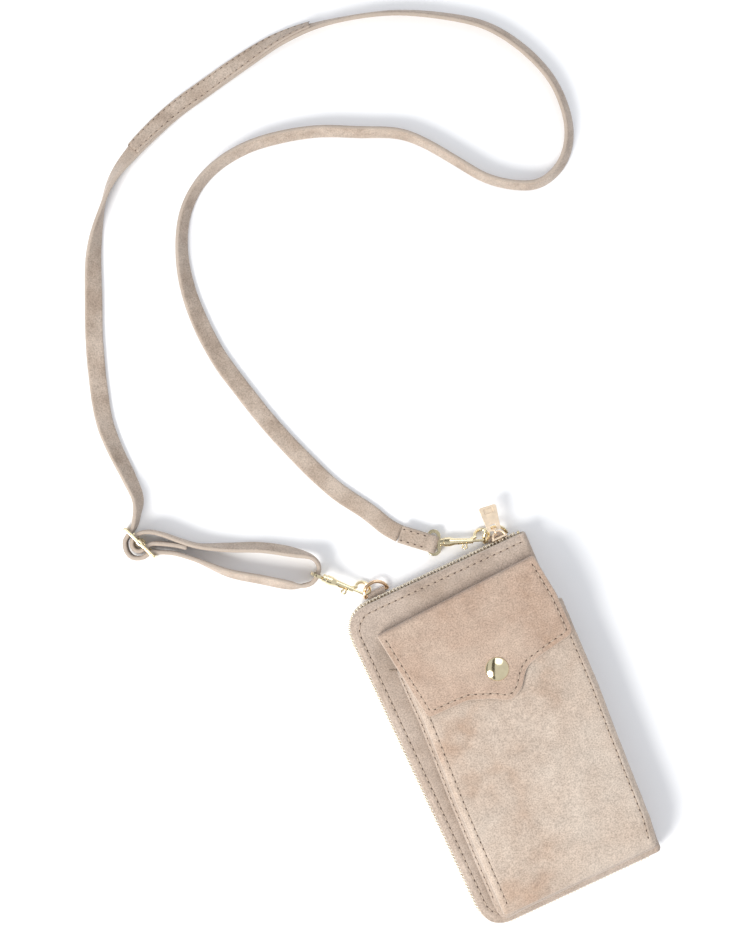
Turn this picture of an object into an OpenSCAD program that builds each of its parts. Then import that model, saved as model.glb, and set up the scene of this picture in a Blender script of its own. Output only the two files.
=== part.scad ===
// Zip-around phone wallet with a bellows front pocket and a long adjustable clip-on strap.
// It lies on its back: +Z out of the front, +Y towards the ring edge, +X towards the spine.
// The origin is the centre of the back cover's outer face.

/* [Covers] */
// Width of the top edge, from the zip to the spine
body_w = 112; // [110:0.5:113]
// Length along the spine
body_l = 193; // [192:0.5:194]
// Thickness of the closed covers, outside to outside
body_t = 16; // [16:0.2:16.4]
// Thickness of one suede cover
cover_t = 1.8; // [1.6:0.1:1.8]
// Radius of the two corners that the zip turns round
corner_r = 15; // [13:1:16]

/* [Front pocket] */
// Height of the pocket's front face above the front cover
pocket_depth = 8; // [7.6:0.2:8.2]
// Thickness of the pocket's front panel and of the flap
panel_t = 1.6; // [1.4:0.1:1.6]
// Thickness of the folded gusset leather
gusset_t = 1.2; // [1:0.1:1.4]

/* [Flap and snap] */
// Width of the flap at its top seam
flap_w = 97; // [94:1:98]
// Radius of the snap's domed cap
cap_r = 6.5; // [5.5:0.5:7]

/* [Zip] */
// Gap between the two rows of teeth
teeth_gap = 1.1; // [1.0:0.05:1.2]
// Place of the slider along the top edge, in the closed position
slider_x = 42; // [41:0.5:43]

/* [Hardware] */
// Radius of the D-ring wire
ring_wire = 0.95; // [0.85:0.05:0.95]
// Radius of the D-ring's round side, to the middle of the wire
ring_r = 6.8; // [6.7:0.05:6.8]

/* [Strap] */
// Width of the suede strap
strap_w = 10; // [9:0.5:10]
// Thickness of the suede strap
strap_t = 2.4; // [2:0.1:2.4]

/* [Hidden] */

$fn = 48;
half_w = body_w / 2;
half_l = body_l / 2;
zip_z = body_t / 2;
lining_t = 0.6;
play = 0.05;

// The spine leans, so the covers are narrower at the bottom
spine_lean = 1.72;
function spine_x(y) = half_w - (half_l - y) * tan(spine_lean);

// The zip runs round three sides and stops this far short of the spine
zip_short = 4;
tape_inset = 1.2;
tape_t = 0.9;
teeth_out = 1.8;
teeth_in = 1.6;
teeth_t = 1.25;

// Interior pieces
inner_gap = 5;
slot_t = 0.7;
slot_pitch = 0.8;
slot_step = 14;

// Front pocket: left and right edges lean, so it is narrower at the bottom
pocket_face_z = body_t + pocket_depth;
pocket_back_z = pocket_face_z - panel_t;
pocket_outline = [[-44.5, -91], [-42.5, -26], [-39.5, 24], [-39, 56],
                  [57.5, 56], [56.5, 4], [54.5, -26], [51.5, -76], [48.5, -91]];
gusset_bulge = 3;

// Flap: it folds over the top of a riser that stands on the cover, slopes up to the pocket,
// and ends in a tongue that carries the snap
flap_fold_at = [54, 83];
flap_fold_slope = 2.36;
ramp_l = 22;
flap_face_z = pocket_face_z + 1.6;
flap_fold_z = flap_face_z - 1.9;
snap_x = 9.5;
snap_y = 35;
tongue_y = 16;
stud_base_t = 0.4;

// D-rings hang in leather tabs at the top edge
ring_y = 99.8;
ring_z = 2.4;
tab_r = 1.75;
tab_foot = 4.6;
left_ring_x = -33.5;
left_ring_tilt = 22;
left_tab_w = 10.4;
right_ring_x = 40.3;
right_ring_tilt = 30;
right_tab_w = 9;

// Zip slider, its bail and the pull
slider_h = 6.6;
slider_l = 9;
plate_t = 0.9;
outer_plate_y = half_l + 2.05;
inner_plate_y = half_l - 4.2;
bail_z = 10.6;
bail_r = 3.6;
bail_wire = 0.5;
link_x = slider_x - 1;
link_y = outer_plate_y + 4.85;
link_z = bail_z + 0.6;
link_r = 2.2;
link_wire = 0.4;
pull_l = 14.2;
pull_turn = -8;

// Snap hooks: x runs from the eye to the claw, and 0 is where the barrel starts
hook_1_place = [-51.9, 115, 7.6];
hook_1_turn = [0, 4, -47];
hook_1_roll = -40;
hook_2_place = [17.9, 107.5, 4.6];
hook_2_turn = [0, -5.1, -22];
hook_2_roll = -37;
hook_wire = 0.9;
claw_r = 4;
claw_c = [15.8, 3.5, 0];
bolt_r = 0.7;
post_r = 0.8;
eye_half = 7.5;

// Strap slider buckle, standing on its long edge
buckle_c = [-141.2, 181.2];
buckle_turn = -68.6;
buckle_half = 10.9;
buckle_low = 1.1;
buckle_high = 13.4;
buckle_wire = 1;
bar_r = 0.9;

// Strap end that folds back round the eye of hook 2
strap_fold_at = [8.8, 109.4];
strap_fold_turn = -42;
strap_fold_l = 22;
strap_fold_t = 2.3;
strap_fold_slot = 1.95;
strap_fold_low = 0.1;

// Strap route from the fold to the cut tail: x, y, tilt in degrees (0 flat, 90 on edge)
// and the height of its lower edge above the ground
strap_route = [
    [-7.6, 124.2, 0, 0], [-11.5, 128.8, 0, 0], [-18, 142, 0, 0], [-30, 162, 0, 0],
    [-40, 187, 5, 0], [-48, 212, 10, 0],
    [-54, 237, 15, 0], [-58, 257, 20, 0], [-59, 281, 30, 0], [-57, 301, 45, 0], [-51, 321, 60, 0],
    [-41, 338, 65, 0], [-28, 349, 68, 0], [-13, 355, 68, 0], [7, 357, 66, 0], [27, 354, 64, 0],
    [47, 348, 66, 0], [67, 338, 68, 0], [87, 328, 72, 0], [97, 318, 75, 0], [109, 301, 76, 0],
    [121, 284, 76, 0], [134, 274, 75, 0], [146, 269, 74, 0], [159, 272, 70, 0], [168, 279, 66, 0],
    [175, 291, 64, 0], [178, 311, 64, 0], [176, 326, 62, 0], [168, 346, 60, 0], [156, 363, 62, 0],
    [136, 378, 66, 0], [112, 391, 72, 0], [87, 399, 74, 0], [67, 403, 65, 0], [47, 404, 45, 0],
    [27, 402, 25, 0],
    [-3, 397, 12, 0], [-23, 393, 14, 0], [-53, 382, 35, 0], [-71, 372, 65, 0], [-83, 359, 90, 0],
    [-96, 341, 130, 0], [-108, 316, 155, 0], [-117, 296, 160, 0], [-126, 271, 160, 0],
    [-131.5, 251, 150, 0], [-132.5, 236, 140, 0], [-132, 217, 130, 0], [-132.5, 204, 115, 0.8],
    [-136, 197, 100, 1.8], [-140, 191.5, 95, 2.2], [-144, 188.5, 90, 2.2],
    [-148, 186, 90, 2.2], [-150, 180.5, 90, 2.2], [-148.5, 175.5, 90, 2.2], [-143, 173, 90, 2.2],
    [-138.3, 173.9, 90, 2.2], [-134, 172, 90, 2], [-127, 168, 88, 1.2], [-117, 159, 85, 0.4],
    [-104, 145, 82, 0], [-89, 134, 82, 0.5], [-75, 124, 85, 2], [-69, 121, 90, 2.8],
    [-63.5, 120.3, 90, 3.1], [-59.4, 122.6, 90, 3.2], [-56.3, 127, 90, 3.1], [-57, 132, 90, 2.8],
    [-66, 140, 86, 1], [-81, 150, 84, 0.4], [-98, 158, 84, 0.2], [-113, 166, 86, 0.8],
    [-121, 173, 88, 1.4], [-128, 180, 90, 2], [-134, 184.5, 90, 2.2], [-139, 186, 90, 2.2],
    [-142.8, 185.2, 90, 2.2], [-145.5, 182.8, 90, 2.2], [-145.7, 179.4, 90, 2.2],
    [-143.3, 177, 90, 2.2], [-139.6, 177.2, 90, 2.2], [-136, 178, 90, 2.1],
    [-130.4, 175.5, 90, 1.8], [-122, 170, 88, 1.2], [-119, 167.5, 88, 1]
];
splice = 36;
strap_ground = 0.05;

suede = "#b9a08c";
suede_dark = "#9c8572";
lining_colour = "#c8b9a6";
gold = "#dcc07a";
rose_gold = "#cf9b6e";

// ---------- shared shapes ----------

// A cover's outline, drawn in by inset on the three zipped sides and by short at the spine
module cover_outline(inset, short) {
    r = corner_r - inset;
    y = half_l - inset;
    polygon([[-half_w + corner_r, -y], [spine_x(-y) - short, -y],
             [spine_x(y) - short, y], [-half_w + corner_r, y]]);
    translate([-half_w + inset, -half_l + corner_r])
        square([corner_r, body_l - 2 * corner_r]);
    for (s = [-1, 1])
        translate([-half_w + corner_r, s * (half_l - corner_r)])
            circle(r = r, $fn = 96);
}

module cover_plate(z, t, inset, short) {
    translate([0, 0, z])
        linear_extrude(t)
            cover_outline(inset, short);
}

// A wall that follows the three zipped sides
module zip_wall(z, t, outer, inner) {
    difference() {
        cover_plate(z, t, outer, zip_short);
        translate([0, 0, -1])
            cover_plate(z, t + 2, inner, zip_short - 5);
    }
}

// Puts the origin on the spine's line at its top end, with -y running down along it
module on_spine() {
    translate([half_w, half_l, 0])
        rotate([0, 0, -spine_lean])
            children();
}

// A whole cover, with its bottom spine corner taken off
module cover(z) {
    cut = 2.2;
    difference() {
        cover_plate(z, cover_t, 0, 0);
        translate([spine_x(-half_l), -half_l, z + cover_t / 2])
            rotate([0, 0, 45])
                cube([2 * cut, 2 * cut, cover_t + 2], center = true);
    }
}

// A flat inner layer with a straight top edge, clear of the zip and the spine
module inner_layer(top, t) {
    left = -half_w + inner_gap + 2;
    low = -half_l + inner_gap + 3.5;
    right = inner_gap + 2;
    linear_extrude(t)
        polygon([[left, low], [spine_x(low) - right, low], [spine_x(top) - right, top], [left, top]]);
}

// A round rod from p to q
module rod(p, q, r) {
    d = q - p;
    len = norm(d);
    translate(p)
        rotate([0, acos(d[2] / len), atan2(d[1], d[0])])
            cylinder(h = len, r = r);
}

// A cylinder along x, from x0 to x1
module x_cylinder(x0, x1, r0, r1) {
    translate([x0, 0, 0])
        rotate([0, 90, 0])
            cylinder(h = x1 - x0, r1 = r0, r2 = r1);
}

// A flat oval with straight sides, long in y
module oval(half_long, half_short) {
    translate([-half_short, -(half_long - half_short)])
        square([2 * half_short, 2 * (half_long - half_short)]);
    for (s = [-1, 1])
        translate([0, s * (half_long - half_short)])
            circle(r = half_short);
}

// ---------- back half ----------

module back_panel() {
    color(suede) cover(0);
}

module back_lining() {
    color(lining_colour) cover_plate(cover_t, lining_t, inner_gap, inner_gap);
}

// Stepped card slots: slot 1 is the deepest and reaches furthest up
module card_slot(i) {
    z = cover_t + lining_t + 0.1 + i * slot_pitch;
    top = 62 - i * slot_step;
    color(suede_dark)
        translate([0, 0, z])
            inner_layer(top, slot_t);
}

module back_zip_tape() {
    color(suede_dark)
        difference() {
            zip_wall(cover_t, zip_z - teeth_gap / 2 - teeth_t - cover_t, tape_inset, tape_inset + tape_t);
            for (t = [[left_ring_x, left_tab_w], [right_ring_x, right_tab_w]])
                translate([t[0] - t[1] / 2 - 0.2, half_l - 5, 0])
                    cube([t[1] + 0.4, 6, cover_t + 1.8]);
        }
}

module back_zip_teeth() {
    color(gold) zip_wall(zip_z - teeth_gap / 2 - teeth_t, teeth_t, -teeth_out, teeth_in);
}

// A metal stop at an end of the back row of teeth: end is 1 at the top, -1 at the bottom
module zip_stop(end) {
    color(gold)
        translate([spine_x(end * half_l) - zip_short, end * half_l, zip_z - 1.8])
            rotate([0, 0, -spine_lean])
                translate([0, -1.4, 0])
                    cube([1.4, 2.8, 2]);
}

// A leather loop round the straight side of a D-ring
module ring_tab(x, w) {
    color(suede)
        difference() {
            union() {
                translate([x - w / 2, half_l - tab_foot, cover_t])
                    cube([w, ring_y - half_l + tab_foot, 1.4]);
                translate([x - w / 2, ring_y, ring_z])
                    x_cylinder(0, w, tab_r, tab_r);
            }
            translate([x - w, ring_y, ring_z])
                x_cylinder(0, 2 * w, ring_wire + play, ring_wire + play);
        }
}

// ---------- spine ----------

module spine_strip() {
    color(suede)
        on_spine()
            translate([-1.6, -body_l + 3.2, cover_t + 0.3])
                cube([1.6, body_l - 3.6, body_t - 2 * cover_t - 0.6]);
}

module spine_lining() {
    color(lining_colour)
        on_spine()
            translate([-1.6 - lining_t, -body_l + 6.5, cover_t + 1])
                cube([lining_t, body_l - 13, body_t - 2 * cover_t - 2]);
}

// ---------- front half ----------

module front_panel() {
    color(suede) cover(body_t - cover_t);
}

module front_lining() {
    color(lining_colour)
        cover_plate(body_t - cover_t - lining_t, lining_t, inner_gap, inner_gap + 0.4);
}

module slip_pocket() {
    color(suede_dark)
        translate([0, 0, body_t - cover_t - lining_t - 0.9])
            inner_layer(66, 0.8);
}

module front_zip_tape() {
    low = zip_z + teeth_gap / 2 + teeth_t;
    color(suede_dark) zip_wall(low, body_t - cover_t - low, tape_inset, tape_inset + tape_t);
}

module front_zip_teeth() {
    color(gold) zip_wall(zip_z + teeth_gap / 2, teeth_t, -teeth_out, teeth_in);
}

// The pocket's front panel, with the hole for the snap
module pocket_front() {
    color(suede)
        difference() {
            translate([0, 0, pocket_back_z])
                linear_extrude(panel_t)
                    polygon(pocket_outline);
            translate([snap_x, snap_y, pocket_back_z - 1])
                cylinder(h = panel_t + 2, r = 1.25 + play);
        }
}

// A gusset side, folded outwards like a bellows: p is its foot, q the other end of the foot
// and out the side that the fold points to
module gusset(p, q, out) {
    run = q - p;
    top = pocket_back_z - body_t;
    lean = out * gusset_bulge;
    translate([p[0], p[1], body_t])
        rotate([0, 0, atan2(run[1], run[0])])
            rotate([90, 0, 90])
                linear_extrude(norm(run))
                    polygon([[0, 0], [lean, top / 2], [0, top],
                             [-out * gusset_t, top], [lean - out * gusset_t, top / 2],
                             [-out * gusset_t, 0]]);
}

module pocket_gusset_left() {
    color(suede_dark) gusset([-43.5, -88], [-38.5, 55.5], 1);
}

module pocket_gusset_right() {
    color(suede_dark) gusset([47.2, -88], [54, 55.5], -1);
}

module pocket_gusset_bottom() {
    color(suede_dark) gusset([-41.5, -88.5], [45.2, -88.5], -1);
}

// Snap: stud and its rivet in the pocket, cap and socket in the flap
module snap_stud() {
    color(gold)
        translate([snap_x, snap_y, pocket_face_z]) {
            cylinder(h = stud_base_t, r = 4);
            cylinder(h = 1, r = 1.6);
        }
}

module snap_post() {
    color(gold)
        translate([snap_x, snap_y, pocket_back_z - 0.5]) {
            cylinder(h = 0.5, r = 4);
            cylinder(h = 0.5 + panel_t, r = 1.25);
        }
}

// ---------- flap ----------

// The flap's plan: nearly straight sides, and a tongue at the snap
module flap_plan() {
    polygon([[-43.6, 84], [flap_w - 43.6, 88], [57, 59], [56.5, 36], [51, 33.5], [41, 32.5], [32, 31],
             [26, 28.5], [21, 24], [17.5, 19.5], [14, tongue_y + 1], [snap_x, tongue_y],
             [5, tongue_y + 1], [1.5, 19.5], [-2, 23], [-6, 25.2], [-12, 26], [-35, 26]]);
}

// A section drawn in y and z, run along the slanted fold: y is 0 at the fold, and the
// flap's plan trims it
module along_fold() {
    intersection() {
        translate([flap_fold_at[0], flap_fold_at[1], 0])
            rotate([90, 0, 90 + flap_fold_slope])
                translate([0, 0, -115])
                    linear_extrude(150)
                        children();
        translate([0, 0, body_t])
            linear_extrude(30)
                flap_plan();
    }
}

// One layer of the flap, from its underside at low to low + t, with the snap's hole
module flap_layer(low, t) {
    z0 = flap_fold_z + low;
    z1 = flap_face_z + low;
    difference() {
        along_fold()
            polygon([[0, z0], [-ramp_l, z1], [-80, z1], [-80, z1 + t], [-ramp_l, z1 + t], [0, z0 + t]]);
        translate([snap_x, snap_y, body_t])
            cylinder(h = 30, r = 1.05);
    }
}

// The strip that stands on the cover and holds the flap's fold at the height of the pocket
module flap_riser() {
    color(suede)
        along_fold()
            polygon([[-panel_t, body_t], [0, body_t], [0, flap_fold_z - 0.3],
                     [-panel_t, flap_fold_z - 0.3]]);
}

module flap() {
    color(suede) flap_layer(lining_t, panel_t - lining_t);
}

module flap_lining() {
    color(lining_colour) flap_layer(0, lining_t);
}

// A domed cap on a post that holds the socket
module snap_cap() {
    dome_r = 12;
    rim = sqrt(dome_r * dome_r - cap_r * cap_r);
    top = flap_face_z + panel_t;
    color(gold)
        translate([snap_x, snap_y, top]) {
            intersection() {
                translate([0, 0, -rim + 0.3])
                    sphere(r = dome_r, $fn = 96);
                cylinder(h = 4, r = cap_r);
            }
            translate([0, 0, -panel_t - 0.2])
                cylinder(h = panel_t + 0.3, r = 1);
        }
}

module snap_socket() {
    gap = 0.3;
    color(gold)
        translate([snap_x, snap_y, pocket_face_z + stud_base_t + gap])
            difference() {
                cylinder(h = flap_face_z - pocket_face_z - stud_base_t - gap, r = 4.4);
                translate([0, 0, -1])
                    cylinder(h = 3, r = 2.2);
            }
}

// ---------- zip slider and pull ----------

// Two plates either side of the teeth, joined by a web between the two rows
module zip_slider() {
    web_t = teeth_gap - 0.6;
    color(gold)
        translate([slider_x, 0, zip_z]) {
            translate([-slider_l / 2, outer_plate_y, -slider_h / 2])
                cube([slider_l, plate_t, slider_h]);
            translate([-slider_l / 2, inner_plate_y, -slider_h / 2])
                cube([slider_l, plate_t, slider_h]);
            translate([-1.2, inner_plate_y + plate_t / 2, -web_t / 2])
                cube([2.4, outer_plate_y - inner_plate_y, web_t]);
        }
}

module zip_bail() {
    color(gold)
        translate([slider_x, outer_plate_y + plate_t - 0.3, bail_z])
            rotate_extrude(angle = 180)
                translate([bail_r, 0])
                    circle(r = bail_wire);
}

module pull_link() {
    color(gold)
        translate([link_x, link_y, link_z])
            rotate([0, 90, 0])
                rotate_extrude()
                    translate([link_r, 0])
                        circle(r = link_wire);
}

// A tapered tab with a hole for the link and a shallow window near its tip
module pull_tab() {
    bar = 1;
    color(gold)
        translate([link_x, link_y + 0.5, link_z - 0.5])
            rotate([0, 0, pull_turn])
                difference() {
                    linear_extrude(1)
                        polygon([[-3.7, 0], [3.7, 0], [5, pull_l - 0.9], [4.1, pull_l],
                                 [-4.1, pull_l], [-5, pull_l - 0.9]]);
                    translate([-1.6, bar, -1])
                        cube([3.2, 2.6, 3]);
                    translate([-2.6, pull_l - 4.2, 0.5])
                        cube([5.2, 2.8, 1]);
                }
}

// ---------- D-rings ----------

module d_ring(x, tilt) {
    translate([x, ring_y, ring_z])
        rotate([tilt, 0, 0]) {
            rotate_extrude(angle = 180)
                translate([ring_r, 0])
                    circle(r = ring_wire);
            x_cylinder(-ring_r, ring_r, ring_wire, ring_wire);
            for (s = [-1, 1])
                translate([s * ring_r, 0, 0])
                    sphere(r = ring_wire);
        }
}

module ring_left() {
    color(rose_gold) d_ring(left_ring_x, left_ring_tilt);
}

module ring_right() {
    color(gold) d_ring(right_ring_x, right_ring_tilt);
}

// ---------- snap hooks ----------

module place_hook(n) {
    translate(n == 1 ? hook_1_place : hook_2_place)
        rotate(n == 1 ? hook_1_turn : hook_2_turn)
            children();
}

// The oval eye that the strap goes through, on a headed post that lets the hook turn
module hook_eye(roll) {
    color(gold) {
        rotate([roll, 0, 0])
            translate([-11, 0, -0.85])
                linear_extrude(1.7)
                    difference() {
                        oval(eye_half, 3.8);
                        oval(eye_half - 1.9, 1.9);
                    }
        x_cylinder(-7.6, -5.4, 2.2, 2.2);
        x_cylinder(-5.5, -3.4, post_r, post_r);
        x_cylinder(-3.9, -2.8, 1.4, 1.4);
    }
}

// Collar, barrel and claw. The bolt runs in the barrel's bore.
module hook_body(roll) {
    color(gold)
        rotate([roll, 0, 0]) {
            difference() {
                union() {
                    x_cylinder(-5.2, -2, 2.6, 2.6);
                    x_cylinder(-2, 0.5, 2.6, 1.9);
                    x_cylinder(0.5, 11, 1.9, 1.45);
                    rod([9.4, 0.7, 0], [12.4, 2.75, 0], hook_wire + 0.1);
                }
                x_cylinder(-6, -3.9, post_r + play, post_r + play);
                x_cylinder(-4.1, -2.5, 1.6, 1.6);
                x_cylinder(-1.6, 2.6, 1.1, 1.1);
                x_cylinder(2, 14, bolt_r + play, bolt_r + play);
                translate([2.4, -4, -0.65])
                    cube([5.8, 4, 1.3]);
            }
            translate(claw_c)
                rotate([0, 0, -57])
                    rotate_extrude(angle = 252)
                        translate([claw_r, 0])
                            circle(r = hook_wire);
        }
}

// The sliding bolt that closes the claw, with its curled thumb piece
module hook_bolt(roll) {
    color(gold)
        rotate([roll, 0, 0]) {
            x_cylinder(2.8, 17.1, bolt_r, bolt_r);
            rod([7.3, 0, 0], [7.3, -3.9, 0], 0.5);
            translate([6.2, -3.9, 0])
                rotate([0, 0, 10])
                    rotate_extrude(angle = -280)
                        translate([1.2, 0])
                            circle(r = 0.5);
        }
}

// The coil spring behind the bolt, inside the barrel
module hook_spring(roll) {
    color("silver")
        rotate([roll, 0, 0])
            translate([-1.5, 0, 0])
                rotate([0, 90, 0])
                    linear_extrude(height = 4.1, twist = -360 * 4, slices = 48, $fn = 6)
                        translate([0.75, 0])
                            circle(r = 0.18);
}

module hook_1_eye() {
    place_hook(1) hook_eye(90);
}

module hook_1_body() {
    place_hook(1) hook_body(hook_1_roll);
}

module hook_1_bolt() {
    place_hook(1) hook_bolt(hook_1_roll);
}

module hook_1_spring() {
    place_hook(1) hook_spring(hook_1_roll);
}

module hook_2_eye() {
    place_hook(2) hook_eye(0);
}

module hook_2_body() {
    place_hook(2) hook_body(hook_2_roll);
}

module hook_2_bolt() {
    place_hook(2) hook_bolt(hook_2_roll);
}

module hook_2_spring() {
    place_hook(2) hook_spring(hook_2_roll);
}

// ---------- buckle ----------

module place_buckle() {
    translate([buckle_c[0], buckle_c[1], 0])
        rotate([0, 0, buckle_turn])
            children();
}

// A wire rectangle on edge, with rounded corners
module buckle_frame() {
    a = buckle_half;
    corners = [[-a, 0, buckle_low], [a, 0, buckle_low], [a, 0, buckle_high], [-a, 0, buckle_high]];
    color(gold)
        place_buckle()
            for (i = [0:3]) {
                rod(corners[i], corners[(i + 1) % 4], buckle_wire);
                translate(corners[i])
                    sphere(r = buckle_wire);
            }
}

// The centre bar: its looped ends clasp the two long rails
module buckle_bar() {
    color(gold)
        place_buckle()
            difference() {
                union() {
                    translate([0, 0, buckle_low])
                        cylinder(h = buckle_high - buckle_low, r = bar_r);
                    for (z = [buckle_low, buckle_high])
                        translate([0, 0, z])
                            x_cylinder(-1.3, 1.3, buckle_wire + 0.8, buckle_wire + 0.8);
                    }
                for (z = [buckle_low, buckle_high])
                    translate([0, 0, z])
                        x_cylinder(-3, 3, buckle_wire + play, buckle_wire + play);
                translate([-5, -5, -5])
                    cube([10, 10, 5.1]);
            }
}

// ---------- strap ----------

// The strap's section: a flat band with its corners taken off
function band(w, t) = [[w / 2, -t / 4], [w / 2 - 0.6, -t / 2], [-w / 2 + 0.6, -t / 2],
                       [-w / 2, -t / 4], [-w / 2, t / 4], [-w / 2 + 0.6, t / 2],
                       [w / 2 - 0.6, t / 2], [w / 2, t / 4]];

// Direction of travel at a route point, level with the ground
function travel(i) =
    let (a = strap_route[max(i - 1, 0)],
         b = strap_route[min(i + 1, len(strap_route) - 1)],
         d = [b[0] - a[0], b[1] - a[1]])
    d / norm(d);

// Height of the strap's middle for a tilt and a lift
function strap_z(tilt, lift) =
    strap_ground + lift + strap_w / 2 * abs(sin(tilt)) + strap_t / 2 * abs(cos(tilt));

// The section's points in place at route point i
function strap_ring(i) =
    let (p = strap_route[i],
         d = travel(i),
         side = [-d[1], d[0], 0],
         up = [0, 0, 1],
         across = cos(p[2]) * side + sin(p[2]) * up,
         through = -sin(p[2]) * side + cos(p[2]) * up,
         mid = [p[0], p[1], strap_z(p[2], p[3])])
    [for (c = band(strap_w, strap_t)) mid + c[0] * across + c[1] * through];

// The strap between two route points
module strap_stretch(first, last) {
    n = 8;
    rings = last - first + 1;
    points = [for (i = [first:last]) each strap_ring(i)];
    sides = [for (r = [0:rings - 2], k = [0:n - 1], half = [0:1])
             let (a = r * n + k, b = r * n + (k + 1) % n)
             half == 0 ? [a, b, b + n] : [a, b + n, a + n]];
    start = [for (k = [1:n - 2]) [0, k + 1, k]];
    finish = [for (k = [1:n - 2]) [0, k, k + 1] + [1, 1, 1] * (rings - 1) * n];
    polyhedron(points = points, faces = concat(sides, start, finish));
}

module strap_short() {
    color(suede) strap_stretch(0, splice);
}

module strap_long() {
    color(suede_dark) strap_stretch(splice, len(strap_route) - 1);
}

// The end of the strap, folded back over the eye and stitched down
module strap_end_fold() {
    outer_r = strap_fold_t + strap_fold_slot / 2;
    color(suede)
        translate([strap_fold_at[0], strap_fold_at[1], strap_fold_low + outer_r])
            rotate([0, 0, strap_fold_turn])
                translate([-outer_r, strap_w / 2, 0])
                    rotate([90, 0, 0])
                        linear_extrude(strap_w)
                            difference() {
                                union() {
                                    circle(r = outer_r);
                                    translate([-strap_fold_l + outer_r, -outer_r])
                                        square([strap_fold_l - outer_r, 2 * outer_r]);
                                }
                                circle(r = strap_fold_slot / 2);
                                translate([-strap_fold_l, -strap_fold_slot / 2])
                                    square([strap_fold_l, strap_fold_slot]);
                            }
}

back_panel();
back_lining();
card_slot(0);  // card_slot_1
card_slot(1);  // card_slot_2
card_slot(2);  // card_slot_3
card_slot(3);  // card_slot_4
back_zip_tape();
back_zip_teeth();
zip_stop(1);  // zip_stop_top
zip_stop(-1);  // zip_stop_bottom
ring_tab(left_ring_x, left_tab_w);  // ring_tab_left
ring_tab(right_ring_x, right_tab_w);  // ring_tab_right
spine_strip();
spine_lining();
front_panel();
front_lining();
slip_pocket();
front_zip_tape();
front_zip_teeth();
pocket_front();
pocket_gusset_left();
pocket_gusset_right();
pocket_gusset_bottom();
snap_stud();
snap_post();
flap_riser();
flap();
flap_lining();
snap_cap();
snap_socket();
zip_slider();
zip_bail();
pull_link();
pull_tab();
ring_left();
ring_right();
hook_1_eye();
hook_1_body();
hook_1_bolt();
hook_1_spring();
hook_2_eye();
hook_2_body();
hook_2_bolt();
hook_2_spring();
strap_end_fold();
strap_short();
strap_long();
buckle_frame();
buckle_bar();
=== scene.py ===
import math
import random

import bpy
import numpy as np
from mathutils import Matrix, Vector
from mathutils.bvhtree import BVHTree


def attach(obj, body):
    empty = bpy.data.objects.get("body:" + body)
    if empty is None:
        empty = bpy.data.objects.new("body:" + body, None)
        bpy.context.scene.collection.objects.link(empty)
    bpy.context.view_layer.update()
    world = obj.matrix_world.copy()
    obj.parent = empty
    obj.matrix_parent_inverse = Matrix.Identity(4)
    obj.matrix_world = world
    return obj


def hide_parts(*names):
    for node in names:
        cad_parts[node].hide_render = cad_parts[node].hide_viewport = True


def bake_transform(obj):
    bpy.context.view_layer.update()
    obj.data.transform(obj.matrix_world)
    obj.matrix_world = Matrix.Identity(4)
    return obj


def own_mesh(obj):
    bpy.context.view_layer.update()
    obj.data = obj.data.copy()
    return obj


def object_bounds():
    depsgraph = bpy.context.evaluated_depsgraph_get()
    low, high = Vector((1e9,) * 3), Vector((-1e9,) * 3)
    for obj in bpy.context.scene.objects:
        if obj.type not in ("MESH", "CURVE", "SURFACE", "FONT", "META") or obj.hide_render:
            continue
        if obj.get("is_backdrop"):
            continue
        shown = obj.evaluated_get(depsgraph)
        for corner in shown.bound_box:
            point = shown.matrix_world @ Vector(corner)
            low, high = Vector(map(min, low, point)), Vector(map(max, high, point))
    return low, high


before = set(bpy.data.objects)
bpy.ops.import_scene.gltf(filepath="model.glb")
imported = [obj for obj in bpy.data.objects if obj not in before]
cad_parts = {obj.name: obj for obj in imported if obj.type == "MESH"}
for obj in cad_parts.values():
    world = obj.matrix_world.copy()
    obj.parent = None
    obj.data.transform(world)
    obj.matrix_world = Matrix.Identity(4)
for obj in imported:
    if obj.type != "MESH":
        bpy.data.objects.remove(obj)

CAD_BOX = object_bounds()

# ---------------------------------------------------------------------------
# Sizes in millimetres, as in part.scad. The row frame has its origin under the
# middle of the wallet, +Z out of the front cover and +Y towards the rings.
# ---------------------------------------------------------------------------
MM = 0.001
HALF_W = 56.0
HALF_L = 96.5
COVER_R = 15.0
FRONT_Z = 16.0
COVER_T = 1.8
LINING_T = 0.6
SPINE_LEAN = math.radians(1.72)
SPINE_R = 2.6
ZIP_SHORT = 4.0
TOOTH_PITCH = 2.05
TEETH_Z = {"back": 6.95, "front": 9.05}
TAPE_INSET = 1.2
TAPE_T = 0.8
STITCH_PITCH = 4.0
STITCH_W = 0.8
STITCH_INSET = 4.6
THREAD_LIFT = 0.1
INNER_GAP = 5.0
SLOT_T = 0.7
SLOT_PITCH = 0.8
SLOT_STEP = 14

POCKET_Z = 24.0
POCKET_T = 1.6
POCKET_SEAM = 4.0
GUSSET_T = 1.1
POCKET_OUTLINE = [(-44.5, -91, 3), (48.5, -91, 3), (51.5, -76, 6), (54.5, -26, 6),
                  (56.8, 4, 6), (58.6, 55.5, 1.5), (-39, 56, 0.8), (-39.5, 24, 6), (-42.5, -26, 6)]

FLAP_T = 1.3
FLAP_SEAM = 3.1
FLAP_OUTLINE = [(-36.3, 26.2, 4), (-12, 26, 9), (1.5, 20.5, 6), (9.5, 15.2, 9), (17.5, 19.5, 7),
                (25, 29.5, 12), (40, 32.5, 12), (56.5, 35.2, 6), (56.6, 59, 10), (54, 83, 0.6),
                (-43, 79, 0.6)]
FOLD_AT = (54.0, 83.0)
FOLD_SLOPE = math.radians(2.36)
FOLD_Z = 25.3
FLAP_Z = 27.2
RAMP_L = 22.0
FOLD_R = 2.6
SNAP = (9.5, 35.0)
CAP_R = 6.45
CAP_RISE = 1.95
CAP_ARC = 0.55

RING_Y = 99.8
RING_Z = 2.4
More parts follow.
